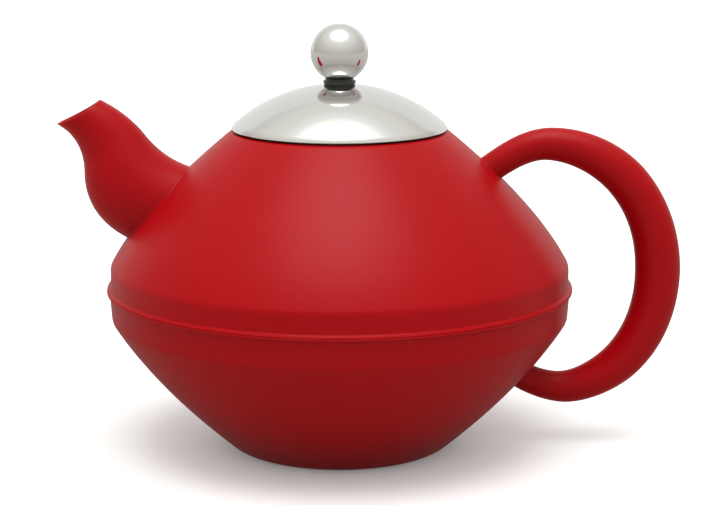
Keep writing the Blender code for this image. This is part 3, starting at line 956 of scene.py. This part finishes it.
def make_floor():
    """Three planes: a glowing white table that the camera alone sees, with a painted shadow round the pot, a
    dimmer one that gives its light to matt surfaces, and a glowing one that polished steel mirrors, a painted
    reflection of the floor with a painted shadow near the pot."""
    table = floor_plane("floor", 0.0, (0.52, 0.52, 0.52), (0.53, 0.525, 0.525))
    # Painted shadow: the table's glow is lowered near the pot, standing in for the shadow that the pot casts.
    glow_with_painted_shadow(
        table.active_material, colour=(1.0, 0.985, 0.985), far_glow=0.42, fall=0.0006, reach=0.0002
    )
    table.visible_diffuse = False
    table.visible_glossy = False
    table.visible_transmission = False
    table.visible_shadow = False
    bounce = floor_plane("floor_bounce", -0.3, (0.52, 0.50, 0.47), (0.53, 0.51, 0.48))
    bounce.visible_camera = False
    bounce.visible_glossy = False
    # Painted reflection: a glowing plane that only reflections see, standing in for the floor, with a painted
    # shadow darkening it towards the pot.
    painted_reflection = floor_plane("floor_mirrored", -0.6, (0.02, 0.02, 0.02), (0.03, 0.03, 0.03))
    glow_with_painted_shadow(
        painted_reflection.active_material, colour=(1.03, 0.99, 0.93), far_glow=0.69, fall=0.011, reach=0.018
    )
    painted_reflection.visible_camera = False
    painted_reflection.visible_diffuse = False
    painted_reflection.visible_transmission = False
    painted_reflection.visible_shadow = False


def glow_with_painted_shadow(material, colour, far_glow, fall, reach):
    """Glow with a painted shadow that dims it near the axis: far_glow - fall / (distance squared + reach), in
    metres.
    """
    tree = material.node_tree
    x, y, _ = split_xyz(tree, object_space(tree))
    # near is the painted shadow: how far the glow drops close to the pot's axis.
    near = math_node(tree, "DIVIDE", fall, math_node(tree, "ADD", squared_distance(tree, x, y), reach))
    glow = math_node(tree, "SUBTRACT", far_glow, near)
    shader = tree.nodes["Principled BSDF"]
    shader.inputs["Emission Color"].default_value = (*colour, 1)
    tree.links.new(glow, shader.inputs["Emission Strength"])


def make_world():
    """A pale room, warmer low down and white behind, under one large feathered softbox."""
    world = bpy.data.worlds.new("studio")
    bpy.context.scene.world = world
    world.use_nodes = True
    tree = world.node_tree
    background = tree.nodes["Background"]
    direction = tree.nodes.new("ShaderNodeTexCoord").outputs["Generated"]
    overhead = tree.nodes.new("ShaderNodeVectorMath")
    overhead.operation = "DOT_PRODUCT"
    tree.links.new(direction, overhead.inputs[0])
    overhead.inputs[1].default_value = SOFTBOX_DIRECTION
    sky = tree.nodes.new("ShaderNodeValToRGB")
    tree.links.new(overhead.outputs["Value"], sky.inputs["Fac"])
    ramp = sky.color_ramp
    ramp.elements.remove(ramp.elements[1])
    for index, (place, light) in enumerate(STUDIO_LIGHT):
        element = ramp.elements[0] if index == 0 else ramp.elements.new(place)
        element.position = place
        element.color = (*(channel / SOFTBOX_STRENGTH for channel in light), 1)
    behind = ranged(tree, split_xyz(tree, direction)["Y"], 0.0, 1.0, from_low=0.1, from_high=0.7)
    wall = mixed(tree, behind, (0, 0, 0), tuple(channel / SOFTBOX_STRENGTH for channel in BACK_WALL))
    brighter = tree.nodes.new("ShaderNodeMix")
    brighter.data_type = "RGBA"
    brighter.blend_type = "LIGHTEN"
    brighter.inputs["Factor"].default_value = 1.0
    tree.links.new(sky.outputs["Color"], brighter.inputs["A"])
    tree.links.new(wall.outputs["Result"], brighter.inputs["B"])
    tree.links.new(brighter.outputs["Result"], background.inputs["Color"])
    background.inputs["Strength"].default_value = SOFTBOX_STRENGTH


def make_camera():
    data = bpy.data.cameras.new("camera")
    data.sensor_width = CAMERA_SENSOR
    data.lens = CAMERA_LENS
    data.clip_end = CAMERA_CLIP_END
    camera = bpy.data.objects.new("camera", data)
    camera.location = CAMERA_PLACE
    camera.rotation_euler = (math.radians(CAMERA_TILT), 0, 0)
    bpy.context.scene.collection.objects.link(camera)
    bpy.context.scene.camera = camera


def main():
    make_camera()
    bpy.context.scene.view_settings.view_transform = "Standard"
    red, polished, satin = red_coating(), polished_steel(), satin_steel()
    plastic = black_plastic("black_bush", (0.016, 0.015, 0.015), (0.03, 0.028, 0.027), 0.25, 0.38)
    silicone = black_plastic("black_gasket", (0.018, 0.017, 0.017), (0.028, 0.026, 0.026), 0.42, 0.55)
    body = make_upper_body(red)
    make_lower_body(red)
    make_spout(red)
    make_handle(red)
    vessel = make_upper_vessel(satin)
    make_lower_vessel(satin)
    make_throat(satin, (body, vessel))
    make_lid(polished)
    make_collar(satin)
    make_ball(polished)
    make_bush(plastic)
    make_gasket(silicone)
    make_washer("washer", "knob_washer", satin)
    make_washer("spring_washer", "knob_spring_washer", satin)
    make_screw(satin)
    make_infuser_rim(satin)
    make_infuser_wall(satin)
    make_infuser_floor(satin)
    make_floor()
    make_world()


main()
